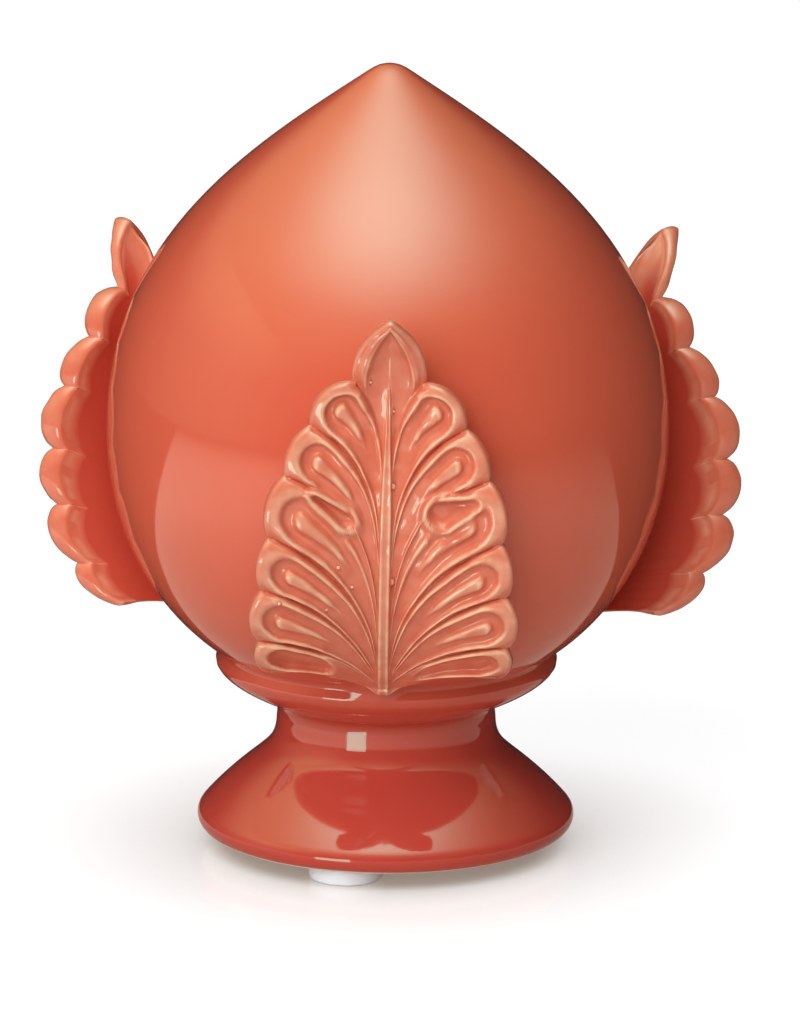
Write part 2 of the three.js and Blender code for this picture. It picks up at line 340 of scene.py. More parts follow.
def flat_leaf(place, reach):
    """Quadratic curve from the midrib by the vein's bend to the edge: (across, up) in mm."""
    start = np.stack([rib_half(place), along_veins(place, 0) * LEAF_HEIGHT], -1)
    bend = np.stack([along_veins(place, 1), along_veins(place, 2)], -1) * leaf_size
    t = reach[..., None]
    return (1 - t) ** 2 * start + 2 * t * (1 - t) * bend + t * t * edge_point(place)


print("lowest lobe ends at", np.round(edge_point(np.array([0.5]))[0], 1), "mm")

# %% [markdown]
# ## Carving of the leaf
# Each lobe is a thick rolled rim with a crisp inner crest, a deep channel inside it, and a
# raised drop in the middle of the channel. The lowest lobe has a plain pouch instead. At the
# fourth vein two rims run together round a hollow, the eye: long and narrow on the leaf's left,
# round on its right. The carving is written in the leaf's two numbers, so it follows the veins
# as they bend; only the eye is written in millimetres. Heights are shares of the full relief.
# A side of the leaf is told by its hand, -1 on the left and 1 on the right.

# %% Sizes of the carving
LEAF_RELIEF = 2.4
# the crest's share of the way from a lobe's axis to its veins: inside, far out, by the eye
CREST_IN, CREST_OUT, CREST_AT_EYE = 0.74, 0.62, 0.7
# the reach at which a lobe's round end begins, and how far it runs
LOBE_CAP, CAP_RUN = 0.825, 0.2
CHANNEL_FLOOR = 0.4
DROP_START, DROP_HALF, DROP_HEIGHT = 0.44, 0.225, 0.95
POUCH_CREST, POUCH_WALL, POUCH_RUN = 0.66, 0.2, 0.4
# the reach at which the pouch begins to close, by hand
pouch_end = {-1: 0.58, 1: 0.42}
BLADE_DISH, BLADE_WELT, BLADE_WELT_AT = 0.12, 0.28, 0.82
# the eye's ridge and how soon it falls, and the cleared ring between near and far, in mm
EYE_VEIN, EYE_RISE, EYE_FALL = 4, 1.15, 0.75
MOAT_NEAR, MOAT_FAR = 0.9, 2.0
# the eye's hollow by hand: outer end and inner end (across, up, radius), width of its ridge
eyes = {
    -1: ((12.0, 38.9, 0.5), (6.5, 34.8, 1.4), 0.5),
    1: ((14.7, 38.6, 0.6), (9.4, 36.4, 2.3), 0.7),
}
print("full relief", LEAF_RELIEF, "mm")


# %% Lobes
def lobe_shape(place, reach):
    """The vein below, the ways off the lobe's axis and past its cap, their hypotenuse, roundness.

    The hypotenuse q is one on the veins, and roundness is one at the middle of the cap.
    """
    low = np.minimum(np.floor(place), LAST - 1)
    side = 2 * np.abs(place - low - 0.5)
    past = np.maximum(0, reach - LOBE_CAP) / CAP_RUN
    q = np.hypot(side, past)
    return low, side, past, q, past / np.maximum(q, 1e-6)


def rim(q, crest, roundness, wall=0.12):
    """One at the crest; a steep bell inside it, a curve outside that falls less at a lobe's end."""
    out = np.clip((q - crest) / (blend(1.0, 1.35, roundness) - crest), 0, 1)
    return np.where(q < crest, bell(q - crest, wall), 1 - blend(0.94, 0.55, roundness) * out**1.6)


def drops(q, reach):
    """A lance: flat on top with a shallow dish and steep sides, widest towards its outer end."""
    along = np.clip((reach - DROP_START) / (LOBE_CAP - DROP_START), 0.001, 1)
    s = q / (DROP_HALF * along**0.85 * (1.3 - 0.45 * along))
    return (1 - smooth(0.72, 1.3, s)) * (1 - 0.16 * bell(s, 0.45)) * smooth(0.001, 0.2, along)


def beyond_eye(flat, hand):
    """Distance in mm beyond the hollow, whose radius changes evenly along it; and its ridge."""
    outer, inner, ridge = eyes[hand]
    start, way = np.array(outer[:2]), np.array(inner[:2]) - outer[:2]
    t = np.clip(((flat - start) @ way) / (way @ way), 0, 1)
    nearest = start + t[..., None] * way
    return np.linalg.norm(flat - nearest, axis=-1) - blend(outer[2], inner[2], t), ridge


def evened(grid, turns):
    """Weights 1, 2, 1 over neighbours each way, which takes the steps off a slanting wall."""
    for _ in range(turns):
        grid = np.pad(grid, 1, mode="edge")
        grid = (grid[:-2] + 2 * grid[1:-1] + grid[2:]) / 4
        grid = (grid[:, :-2] + 2 * grid[:, 1:-1] + grid[:, 2:]) / 4
    return grid


def middle_lobe(place, reach, q, roundness, floor):
    """The higher of the rim and the channel with its drop; by the eye two rims run together."""
    crest = blend(CREST_IN, CREST_OUT, smooth(0.4, 0.7, reach))
    below_eye = (place > EYE_VEIN - 0.5) & (place <= EYE_VEIN)
    crest = crest * np.where(below_eye, blend(CREST_AT_EYE, 1, smooth(0.68, 0.85, reach)), 1)
    channel = floor + (DROP_HEIGHT - floor) * drops(q, reach)
    edge = rim(q, crest, roundness)
    together = (np.abs(place - EYE_VEIN) < 0.5) * (q > crest) * (1 - smooth(0.8, 0.9, reach))
    edge = blend(edge, 1 - 0.6 * smooth(0, 0.5, (q - crest) / (1 - crest)), together)
    return np.maximum(edge, np.where(q < crest, channel, 0))


def with_eye(height, floor, reach, flat, hand):
    """Clears a ring round the eye, raises its ridge there and sinks its hollow."""
    beyond, ridge = beyond_eye(flat, hand)
    moat = smooth(ridge + MOAT_FAR, ridge + MOAT_NEAR, beyond) * (1 - smooth(0.74, 0.88, reach))
    height = blend(height, np.minimum(height, floor), moat)
    hollow = EYE_RISE - EYE_RISE * smooth(0.1, 1.2, ridge - beyond)
    outside = np.maximum(height, EYE_RISE * bell(beyond - ridge, EYE_FALL))
    height = np.where(beyond < ridge, hollow, outside)
    return blend(evened(height, 1), evened(height, 2), smooth(2.2, 1.4, beyond))


def pouch(side, past, reach, roundness, hand):
    """One plain rim all round, which turns back where the pouch ends short of the midrib."""
    inner = np.maximum(0, pouch_end[hand] - reach) / POUCH_RUN
    loop = np.hypot(np.hypot(side, past), 2 * inner)
    height = rim(loop, POUCH_CREST, np.maximum(roundness, smooth(0, 0.3, inner)), POUCH_WALL)
    return height * smooth(0.08, 0.25, reach)


def blade(reach, part):
    """The tip: a shallow dish with a low welt just inside its edge, flat where the tip begins."""
    height = BLADE_DISH * smooth(0.2, 0.7, reach)
    height = height + BLADE_WELT * bell(np.minimum(reach - BLADE_WELT_AT, 0), 0.08)
    return height * (1 - 0.5 * smooth(BLADE_WELT_AT, 1, reach) ** 2) * smooth(0, 0.2, part)


def lobes(place, reach, flat, hand):
    """Pouch on the lowest lobe, blade on the tip, rim, channel and drop on those between."""
    low, side, past, q, roundness = lobe_shape(place, reach)
    floor = CHANNEL_FLOOR * smooth(0.15, 0.6, reach)
    height = middle_lobe(place, reach, q, roundness, floor)
    height = with_eye(height, floor, reach, flat, hand)
    height = np.where(low == 0, pouch(side, past, reach, roundness, hand), height)
    return np.where(low == LAST - 1, blade(reach, place - low), height)


print("rim at its crest", float(rim(0.6, 0.6, 0)))

# %% [markdown]
# The midrib is flat on top with two sharp edges, and narrows to a fine line in the tip. Its
# section is written in shares of its half width, so it keeps its form as it narrows. The glaze
# later needs to know how raised or sunk each spot is, so the carving gives that as well.

# %% Midrib and the whole carving
RIB_EDGE, RIB_MIDDLE, RIB_FOOT, RIB_FILLET = 0.62, 0.86, 0.25, 0.35
LEVEL, LOWEST_FRONT = 0.45, 0.2


def midrib(across, place):
    """A flat rib with a shallow trough along its top, steep sides and a fillet at its foot."""
    half = np.maximum(rib_half(place), 0.05)
    s = across / half
    top = RIB_MIDDLE + (1 - RIB_MIDDLE) * np.minimum(s / RIB_EDGE, 1) ** 2
    side = blend(1.0, RIB_FOOT, smooth(RIB_EDGE, 1, s))
    fillet = RIB_FOOT * np.exp(-np.maximum(across - half, 0) / RIB_FILLET)
    rise = MIDRIB_RISE * np.minimum(1, 2 * rib_half(place) / MIDRIB_HALF)
    return rise * smooth(-0.3, 0.5, place) * np.where(s < 1, top * side, fillet)


def carved(place, reach, flat, hand):
    """The lobes' height in mm, which grows from the midrib to the edge, and how raised that is.

    Where the carving is shallow, the second number stays near the middle.
    """
    share = lobes(place, reach, flat, hand)
    grow = LEAF_RELIEF * (0.3 + 0.7 * smooth(0.2, 0.85, reach)) * smooth(0, 0.16, reach)
    raised = np.where(place > LAST - 1, 0.4 + 0.6 * share, np.maximum(share, LOWEST_FRONT))
    return grow * share, blend(LEVEL, raised, smooth(0.2, 0.6, reach))


print("midrib stands up", round(float(midrib(0.6, 2)), 2), "mm")

# %% [markdown]
# ## The leaf in the round
# The middle line of the leaf lies on the bud, and its free tip leans out. Towards the edge the
# leaf stands off the bud, most at the bottom. Only the front was pressed into the mould, so the
# back is smooth but for a welt of squeezed-out clay along its edge and a keel up its tip. The
# maker's hand shows in small waves and knots, and in the way each leaf was set.

# %% Distance from the axis
LEAF_FOOT, LEAF_SHEET, LEAF_SUNK, EDGE_THICKNESS = 32.4, 2.4, 0.6, 1.2
LEAF_FLARE, TIP_LEAN, FREE_LENGTH, EDGE_ROLL = 6.0, 5.2, 18.5, 0.8
FLARE_LOW, FLARE_HIGH = 1.08, 0.85
BACK_WELT, WELT_RISES = 0.5, (0.88, 0.96)
bud_line = bud_outline()


def middle_reach(height, lean):
    """The bud's radius at that height plus the sheet; over the free tip, a parabola outwards."""
    leaves = LEAF_FOOT + LEAF_HEIGHT - FREE_LENGTH
    seat = np.interp(np.minimum(height, leaves), bud_line[:, 1], bud_line[:, 0])
    free = np.maximum(0, height - leaves) / FREE_LENGTH
    return np.maximum(seat, COLLAR[0] + 0.8) + LEAF_SHEET + (TIP_LEAN + lean) * free**2


def front_reach(flat, setting):
    """Middle line plus the flare, which grows with the square of the way across."""
    across, up = flat[..., 0], flat[..., 1]
    flare = setting["open"] * LEAF_FLARE * blend(FLARE_LOW, FLARE_HIGH, up / LEAF_HEIGHT)
    return middle_reach(up + LEAF_FOOT, setting["lean"]) + flare * (across / LEAF_HALF) ** 2


def thickness(reach):
    """Thick at the midrib, thinner towards the edge, where squeezed-out clay makes a welt."""
    sheet = blend(LEAF_SHEET + LEAF_SUNK, EDGE_THICKNESS, smooth(0, 0.8, reach))
    return sheet + BACK_WELT * smooth(*WELT_RISES, reach)


def waves(points, length, seed, count=9):
    """Sum of plane sine waves of about that length in seeded directions, about one at most."""
    draw = np.random.default_rng(seed)
    ways = draw.normal(size=(count, points.shape[-1]))
    ways /= np.linalg.norm(ways, axis=1, keepdims=True)
    turns = draw.uniform(0.7, 1.4, count) * 2 * math.pi / length
    starts = draw.uniform(0, 6.28, count)
    return np.sin((points @ ways.T) * turns + starts).sum(-1) / count**0.5 / 1.6


print("leaf stands", np.round(middle_reach(np.array([40, 70, 100]), 0), 1), "mm from the axis")

# %% [markdown]
# One half of a leaf is four grids that share their edges: the carved front with half of the
# midrib, the rolled edge, the smooth back, and the rolled lower edge. The other half has the
# other hand. Welding makes them one closed skin.

# %% One half of a leaf
TIP_ROWS = 20


def row_density(place):
    """Closest at the crests, beside the drops and in the grooves between lobes."""
    side = 2 * np.abs(place - np.floor(place) - 0.5)
    crests, flanks = 1.6 * bell(side - 0.7, 0.14), 1.1 * bell(side - 0.22, 0.13)
    return 0.8 + crests + flanks + 1.2 * bell(side - 1, 0.08)


def places(count):
    """Rows up the leaf: count on each lobe, then those of the tip, closest at its point."""
    lobe = spaced(0, 1, count + 1, row_density)[:-1]
    tip = spaced(LAST - 1, LAST, TIP_ROWS, lambda place: 1 + 1.5 * smooth(LAST - 0.3, LAST, place))
    return np.r_[(np.arange(LAST - 1)[:, None] + lobe).ravel(), tip]


RIB_PARTS = np.array([0, 0.3, 0.52, 0.66, 0.8, 0.9])
BACK_REACHES = np.array([0, 0.12, 0.3, 0.5, 0.7, 0.84, 0.89, 0.925, 0.96, 1])
KEEL_RISE, KEEL_HALF = 1.5, 4.5
ROLL = np.linspace(0, math.pi, 8)
LOW_ROLL = 0.35
# how raised the rolled edge counts for the glaze
ROLLED_EDGE = 0.6
# height of the skin's waves, and how far apart they lie on the front, back and back's band
WAVE, FRONT_WAVE, BACK_WAVE, BAND_WAVE = 0.12, 4, 14, 6


def reaches(count):
    """Columns of the front: close further out, closest at the round ends of the channels."""
    return spaced(0, 1, count, lambda r: 0.9 + smooth(0.35, 0.6, r) + 0.8 * bell(r - 0.9, 0.07))


def strip(many, few, turned):
    """Triangles between a line of many points and a line of few, which start and end together."""
    near = len(many) + np.linspace(0, len(few) - 1, len(many)).round().astype(int)
    first = np.arange(len(many) - 1)
    step = first[near[1:] > near[:-1]]
    fans = np.c_[first, first + 1, near[:-1]]
    steps = np.c_[step + 1, near[step + 1], near[step]]
    triangles = np.r_[fans, steps]
    return np.concatenate([many, few]), triangles[:, ::-1] if turned else triangles


def leaf_rows(place, reach, flat, hand, setting):
    """Carved front: distance from the axis with midrib, carving and waves; and how raised it is."""
    height, share = carved(place, reach, flat, hand)
    rib = midrib(flat[..., 0], place)
    small = WAVE * waves(flat * (hand, 1), FRONT_WAVE, setting["seed"])
    return front_reach(flat, setting) + height + rib + small, np.maximum(share, rib / MIDRIB_RISE)


def set_on_bud(flat, out, raised, hand, setting):
    """Tilts the flat leaf in its plane, stands it at its distance, and turns it about the axis.

    How raised the carving is there goes along as a fourth number of each point.
    """
    tilt, turn = math.radians(setting["tilt"]), math.radians(setting["turn"])
    u, y = hand * flat[..., 0], flat[..., 1]
    x = u * math.cos(tilt) - y * math.sin(tilt)
    z = y * math.cos(tilt) + u * math.sin(tilt) + LEAF_FOOT + setting["lift"]
    across = x * math.cos(turn) + out * math.sin(turn)
    away = x * math.sin(turn) - out * math.cos(turn)
    return np.stack([across, away, z, raised + 0 * z], -1)


def smooth_back(rows, hand, setting):
    """The back's grid on the bud, and its distances from the axis.

    The sheet has slow waves, an uneven band by the edge and a keel up the tip. Only the band's
    crest and the keel count as raised, so the rest takes the deep colour, there painted shade.
    """
    place, reach = np.meshgrid(rows, BACK_REACHES, indexing="ij")
    flat = flat_leaf(place, reach)
    flat[:, 0, 0] = 0
    out = front_reach(flat, setting) - thickness(reach)
    out = out + WAVE * waves(flat * (hand, 1), BACK_WAVE, setting["seed"] + 5)
    uneven = 1 + 0.9 * waves(flat * (hand, 1), BAND_WAVE, setting["seed"] + 6)
    on_tip = smooth(LAST - 1.4, LAST - 0.6, place)
    out = out - 0.35 * BACK_WELT * smooth(0.86, 0.95, reach) * uneven
    keel = on_tip * np.clip(1 - np.abs(flat[..., 0]) / KEEL_HALF, 0, 1)
    out = out - KEEL_RISE * keel + BACK_WELT * on_tip * smooth(*WELT_RISES, reach)
    out[1:-1, 1:] = evened(out, 2)[1:-1, 1:]
    crest = bell(reach - 0.96, 0.03) * np.clip(uneven, 0.75, 1)
    pale = np.maximum(crest, 0.3 * smooth(0.9, 0.96, reach)) + 0.9 * keel**2
    return set_on_bud(flat, out, np.minimum(pale, 1), hand, setting), out


def half_leaf(hand, setting):
    """The patches of one half, ready to weld: front, rolled edges, back and a closing strip."""
    rows = places(setting["rows"])
    place, reach = np.meshgrid(rows, reaches(setting["columns"]), indexing="ij")
    flat = flat_leaf(place, reach)
    rib_place = np.repeat(rows[:, None], len(RIB_PARTS), 1)
    rib = np.stack([RIB_PARTS * rib_half(rib_place), along_veins(rib_place, 0) * LEAF_HEIGHT], -1)
    flat, place = np.concatenate([rib, flat], 1), np.concatenate([rib_place, place], 1)
    reach = np.concatenate([0 * rib_place, reach], 1)
    front_out, raised = leaf_rows(place, reach, flat, hand, setting)
    front = set_on_bud(flat, front_out, raised, hand, setting)

    back, back_out = smooth_back(rows, hand, setting)

    way = edge_point(np.minimum(rows + 0.03, LAST)) - edge_point(np.maximum(rows - 0.03, 0))
    way /= np.linalg.norm(way, axis=1, keepdims=True)
    grow = np.stack([way[:, 1], -way[:, 0]], -1)
    grow[-1] = (0, 1)

    def rolled(flat_line, near, far, grow_line, amount):
        """Half an ellipse from the front line round to the back line, amount beyond the edge."""
        middle, half = (near + far)[:, None] / 2, (near - far)[:, None] / 2
        swell = amount[:, None] * np.sin(ROLL)
        spots = flat_line[:, None] + grow_line[:, None] * swell[..., None]
        return set_on_bud(spots, middle + half * np.cos(ROLL), ROLLED_EDGE, hand, setting)

    whole = np.full(len(rows), EDGE_ROLL)
    side = rolled(flat[:, -1], front_out[:, -1], back_out[:, -1], grow, whole)
    low_back = front_reach(flat[0], setting) - thickness(reach[0])
    low_back[-1] = back_out[0, -1]
    corner = smooth(0.8, 1, reach[0])[:, None]
    low_grow = blend(np.array((0.0, -1.0)), grow[0], corner)
    low_grow /= np.linalg.norm(low_grow, axis=1, keepdims=True)
    low_grow[-1] = grow[0]
    low_roll = blend(LOW_ROLL, EDGE_ROLL, corner[:, 0])
    low = rolled(flat[0], front_out[0], low_back, low_grow, low_roll)

    right = hand > 0
    grids = [(front, not right), (side, not right), (low, not right), (back[1:], right)]
    patches = [(g.reshape(-1, 4), grid_triangles(*g.shape[:2], turned)) for g, turned in grids]
    return patches + [strip(low[:, -1], back[1], right)]


print(len(places(36)), "rows on each half of the front leaf")

# %% [markdown]
# The three leaves stand a third of a turn apart, one in front. Each has its own small turn and
# tilt in degrees, lift and lean of its tip in mm, opening of its edge as a share, and a seed for
# its waves. The front leaf is seen from close by, so its grid is finer.

# %% Three leaves
setting_names = ("turn", "tilt", "lift", "lean", "open", "seed", "rows", "columns")
leaf_settings = [
    dict(zip(setting_names, row))
    for row in (
        (-1, -1.1, 0.2, 0, 0.15, 11, 36, 56),
        (120, 0, -0.4, 3.2, 1.2, 12, 24, 36),
        (240, 0, 1, 0, 1, 13, 24, 36),
    )
]
leaves = [welded(half_leaf(1, setting) + half_leaf(-1, setting)) for setting in leaf_settings]
for _, leaf_faces in leaves:
    print("leaf", len(leaf_faces), "triangles, open", (edges_of(leaf_faces)[1] != 2).sum())

# %% [markdown]
# Small knots sit on the front leaf, where crumbs of clay stuck in the mould. Each is a little
# ball sunk part of the way into the leaf's front.

# %% Knots
KNOT_SUNK, KNOT_RAISED = 0.4, 0.9
# across, up and radius in mm
knots = (
    (1.0, 40.6, 0.62), (0.5, 24.0, 0.7), (-7.9, 26.5, 0.42), (-5.4, 22.6, 0.36),
    (-9.6, 18.4, 0.36), (-3.1, 58.6, 0.3), (0.9, 53.6, 0.32), (-17.5, 20.0, 0.36),
)


def on_front(across, up, setting):
    """The point of the front grid that lies nearest to (across, up) on the flat leaf."""
    hand = 1 if across > 0 else -1
    rows, columns = places(setting["rows"]), reaches(setting["columns"])
    place, reach = np.meshgrid(rows, columns, indexing="ij")
    flat = flat_leaf(place, reach)
    nearest = np.argmin(np.linalg.norm(flat - (abs(across), up), axis=-1))
    out, raised = leaf_rows(place, reach, flat, hand, setting)
    return set_on_bud(flat, out, raised, hand, setting).reshape(-1, 4)[nearest]


# half a circle of radius one, turned about the axis
lean = np.linspace(-math.pi / 2, math.pi / 2, 9)
half_circle = np.c_[np.cos(lean), np.sin(lean)]
half_circle[[0, -1], 0] = 0
ball_points, ball_faces = turned(half_circle, 14)
knot_patches = []
for across, up, radius in knots:
    centre = on_front(across, up, leaf_settings[0])[:3] + (0, KNOT_SUNK * radius, 0)
    sphere = np.c_[ball_points * radius + centre, np.full(len(ball_points), KNOT_RAISED)]
    knot_patches.append((sphere, ball_faces))
leaves.append(welded(knot_patches))
print(len(knots), "knots")

# %% [markdown]
# ## One piece of porcelain
# The leaves are stuck on with slip and fired with the body, so they are one piece. A Boolean
# union removes the skin hidden inside. It keeps each point's number: how raised the carving is,
# nought to one on a leaf, and minus one on the body.

# %% Union of body and leaves
def as_object(name, points, faces):
    """A smooth-shaded mesh object at the origin."""
    mesh = bpy.data.meshes.new(name)
    mesh.from_pydata(points, [], faces)
    mesh.polygons.foreach_set("use_smooth", np.ones(len(faces), bool))
    mesh.update()
    piece = bpy.data.objects.new(name, mesh)
    bpy.context.scene.collection.objects.link(piece)
    return piece


def arrays_of(piece):
    """Points, triangles and marks of a piece with its modifiers carried out."""
    shown = piece.evaluated_get(bpy.context.evaluated_depsgraph_get())
    mesh = shown.to_mesh()
    mesh.calc_loop_triangles()
    points, marks = np.empty(len(mesh.vertices) * 3), np.empty(len(mesh.vertices))
    faces = np.empty(len(mesh.loop_triangles) * 3, int)
    mesh.vertices.foreach_get("co", points)
    mesh.attributes["raised"].data.foreach_get("value", marks)
    mesh.loop_triangles.foreach_get("vertices", faces)
    shown.to_mesh_clear()
    return points.reshape(-1, 3), faces.reshape(-1, 3), marks


def keep_at_points(piece, name, values):
    """Stores one number for each point under that name."""
    kept = piece.data.attributes.new(name, "FLOAT", "POINT")
    kept.data.foreach_set("value", values.astype(np.float32))


def marked(name, points, faces, raised):
    """A raw mesh that carries how raised the carving is, as a number at each point."""
    piece = as_object(name, points, faces)
    keep_at_points(piece, "raised", raised)
    return piece


raw_body = marked("raw_body", *body, np.full(len(body[0]), -1.0))
for number, (leaf_points, leaf_faces) in enumerate(leaves):
    union = raw_body.modifiers.new("leaf", "BOOLEAN")
    union.operation, union.solver = "UNION", "MANIFOLD"
    union.object = marked(f"raw_leaf_{number}", leaf_points[:, :3], leaf_faces, leaf_points[:, 3])
points, faces, raised = arrays_of(raw_body)
for piece in [o for o in bpy.data.objects if o.name.startswith("raw_")]:
    bpy.data.meshes.remove(piece.data)
print("union of", len(faces), "triangles")

# %% [markdown]
# The glaze fills the inner corner where a leaf meets the bud. The seam is where a point of the
# body has a neighbour on a leaf. The points near it are pulled towards their neighbours a few
# times, which leaves a small fillet and nothing else changed.

# %% Glaze fillet along the seams
SEAM_RINGS, SEAM_TURNS = 3, 14


def neighbour_mean(values, edges):
    """Mean over the points that share an edge with each point."""
    ends, others = np.r_[edges[:, 0], edges[:, 1]], np.r_[edges[:, 1], edges[:, 0]]
    count = np.bincount(ends, minlength=len(values))
    columns = [np.bincount(ends, v[others], len(values)) for v in np.atleast_2d(values.T)]
    return (np.array(columns) / np.maximum(count, 1)).T.reshape(values.shape)


edges, _ = edges_of(faces)
on_body = (raised < 0).astype(float)
pull = ((on_body == 1) & (neighbour_mean(on_body, edges) < 1)).astype(float)
for _ in range(SEAM_RINGS):
    pull = np.maximum(pull, 0.75 * smooth(0, 0.5, neighbour_mean(pull, edges)))
for _ in range(SEAM_TURNS):
    points = blend(points, neighbour_mean(points, edges), 0.5 * pull[:, None])
print("seam points", int((pull > 0.5).sum()))

# %% [markdown]
# ## Where the glaze is thin, and where pooled glaze and painted shade deepen it
# In the kiln a melted glaze draws back from every raised edge, where the pale body shows
# through, and runs into every hollow, where it is deep and dark. So it is thin where the
# carving is raised and where the surface bends outwards, and thick in the channels and where it
# bends inwards. That deep share is laid on more strongly than the pooling alone would give, as
# painted shade in the channels, folds and seams. The pressed front keeps less glaze than the bud
# all over, and the smooth back is darkened all over as painted shade. Both shares are kept at
# each point as attributes that the material reads.

# %% Mean curvature
BROAD_TURNS = 8


def mean_curvature(points, faces):
    """Cotangent Laplacian over four times the area, in 1/mm: above nought where it bends outwards.

    Each edge vector weighs the cotangents of the angles opposite it.
    """
    count = len(points)
    pull, area, normal = np.zeros((count, 3)), np.zeros(count), np.zeros((count, 3))
    for turn in range(3):
        i, j, k = np.roll(faces, turn, axis=1).T
        to_i, to_j = points[i] - points[k], points[j] - points[k]
        across = np.cross(to_i, to_j)
        double = np.maximum(np.linalg.norm(across, axis=1), 1e-9)
        cot = np.clip((to_i * to_j).sum(1) / double, -10, 10)
        step = (points[i] - points[j]) * cot[:, None]
        for axis in range(3):
            pull[:, axis] += np.bincount(i, step[:, axis], count)
            pull[:, axis] -= np.bincount(j, step[:, axis], count)
            normal[:, axis] += np.bincount(k, across[:, axis], count)
        area += np.bincount(k, double / 6, count)
    normal /= np.maximum(np.linalg.norm(normal, axis=1, keepdims=True), 1e-9)
    return (pull * normal).sum(1) / np.maximum(4 * area, 1e-4)


bend = neighbour_mean(np.clip(mean_curvature(points, faces), -3, 3), edges)
broad = bend
for _ in range(BROAD_TURNS):
    broad = neighbour_mean(broad, edges)
print("bends", np.round(np.percentile(bend, (5, 50, 95)), 2), "per mm")

# %% Shares of thin glaze, and of pooled glaze with painted shade
# bends in 1/mm at which a sharp edge, a broad edge and a fold begin to count and count in full
SHARP_EDGE, BROAD_EDGE, FOLD = (0.15, 0.75), (0.05, 0.45), (0.04, 0.45)
FRONT_THIN = 0.2
on_leaf = 1 - on_body
edge_share = np.maximum(smooth(*SHARP_EDGE, bend), 0.4 * smooth(*BROAD_EDGE, broad))
# not on the smooth back, and less on the rolled edge, which faces sideways
edge_share *= smooth(0.02, 0.2, raised) * (1 - 0.45 * bell(raised - ROLLED_EDGE, 0.08))
front_skin = FRONT_THIN * smooth(0.1, 0.2, raised)
crests = 0.5 * smooth(0.7, 0.95, raised)
thin = np.maximum(edge_share, np.maximum(front_skin, crests)) * on_leaf
# deep share: glaze pooled in folds and channels, made stronger there as painted shade; more on the
# body, along the seams with the leaves
folds = smooth(*FOLD, -broad) * blend(0.35, 0.8, on_body)
# on the leaves' smooth backs, away from the band's crest and the keel, the deep colour is painted
# shade
channels, back = 0.35 * smooth(0.42, 0.2, raised), smooth(0.15, 0.02, raised)
pool_and_shade = np.maximum(folds, np.maximum(channels, back) * on_leaf)
for name, share in (("thin", thin), ("pool_and_shade", pool_and_shade)):
    print(name, "glaze on", round(float((share > 0.5).mean()), 2), "of the points")

# %% The porcelain piece
# from millimetres about the body's axis to the frame's metres
in_frame = (points + (0, axis_y, PAD_THICKNESS)) * MM
porcelain = as_object("pumo_porcelain", in_frame, faces)
keep_at_points(porcelain, "glaze_thin", thin)
keep_at_points(porcelain, "glaze_pool_and_shade", pool_and_shade)
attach(porcelain, "root")
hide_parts("pumo")
print("porcelain", len(faces), "triangles")

# %% [markdown]
# ## The stick-on feet
# Three round pads of soft white polyurethane keep the unglazed ring off the furniture. Each is
# a low disc with a rounded lower edge, turned about its own axis.

# %% Stick-on feet
PAD_RADIUS, PAD_EDGE = 6.4, 0.6
turn = np.linspace(-math.pi / 2, 0, 9)
pad_edge = np.c_[np.cos(turn), 1 + np.sin(turn)] * PAD_EDGE + (PAD_RADIUS - PAD_EDGE, 0)
pad_top = [
    (PAD_RADIUS, 1.8),
    (PAD_RADIUS - 0.02, PAD_THICKNESS - 0.15),
    (PAD_RADIUS - 0.15, PAD_THICKNESS),
    (0, PAD_THICKNESS),
]
pad_line = np.r_[[(0, 0), (3, 0)], pad_edge, pad_top]
pads = []
for number, side in enumerate(("front", "right", "left"), start=1):
    low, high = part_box(f"bumper_foot_{number}")
    pad_points, pad_faces = turned(pad_line, 72)
    centre = np.array(((low.x + high.x) / 2, (low.y + high.y) / 2, 0))
    pad = as_object(f"stick_on_foot_{side}", pad_points * MM + centre, pad_faces)
    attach(pad, "root")
    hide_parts(f"bumper_foot_{number}")
    pads.append(pad)
print("stick-on feet", len(pads), "of", len(pad_faces), "triangles")

# %% [markdown]
# ## Materials
# A material is a small graph of nodes. One function turns the colours that people write, sRGB
# hex, into the linear values that light adds up in, and one adds a node. The short ones call it
# for what comes again and again.

# %% Colours and nodes
def colour(code):
    """sRGB to linear: c / 12.92 below 0.04045, else ((c + 0.055) / 1.055) to the power 2.4."""
    channels = [int(code[i : i + 2], 16) / 255 for i in (1, 3, 5)]
    return [c / 12.92 if c <= 0.04045 else ((c + 0.055) / 1.055) ** 2.4 for c in channels] + [1]


def add(tree, kind, inputs=(), output=0, **settings):
    """One node with its settings and inputs, a value or socket for each name or number.

    It gives back the output with that name or number.
    """
    node = tree.nodes.new(kind)
    for name, value in settings.items():
        setattr(node, name, value)
    for socket, value in dict(inputs).items():
        if isinstance(value, bpy.types.NodeSocket):
            tree.links.new(value, node.inputs[socket])
        else:
            node.inputs[socket].default_value = value
    return node.outputs[output] if node.outputs else None


def maths(tree, operation, *values, **settings):
    """The named operation on numbers or sockets."""
    inputs = enumerate(values)
    return add(tree, "ShaderNodeMath", inputs, operation=operation, **settings)


def mixture(tree, share, first, second):
    """The first colour where the share is nought, the second where it is one."""
    inputs = {0: share, 6: first, 7: second}
    return add(tree, "ShaderNodeMix", inputs, data_type="RGBA", output=2)


def ranged(tree, value, source, target=(0, 1)):
    """The straight line that takes the source's two ends to the target's, and goes no further."""
    ends = zip(("From Min", "From Max", "To Min", "To Max"), (*source, *target))
    return add(tree, "ShaderNodeMapRange", {"Value": value, **dict(ends)})


def new_material(name):
    """An empty node material and its tree."""
    made = bpy.data.materials.new(name)
    made.use_nodes = True
    made.node_tree.nodes.clear()
    return made, made.node_tree


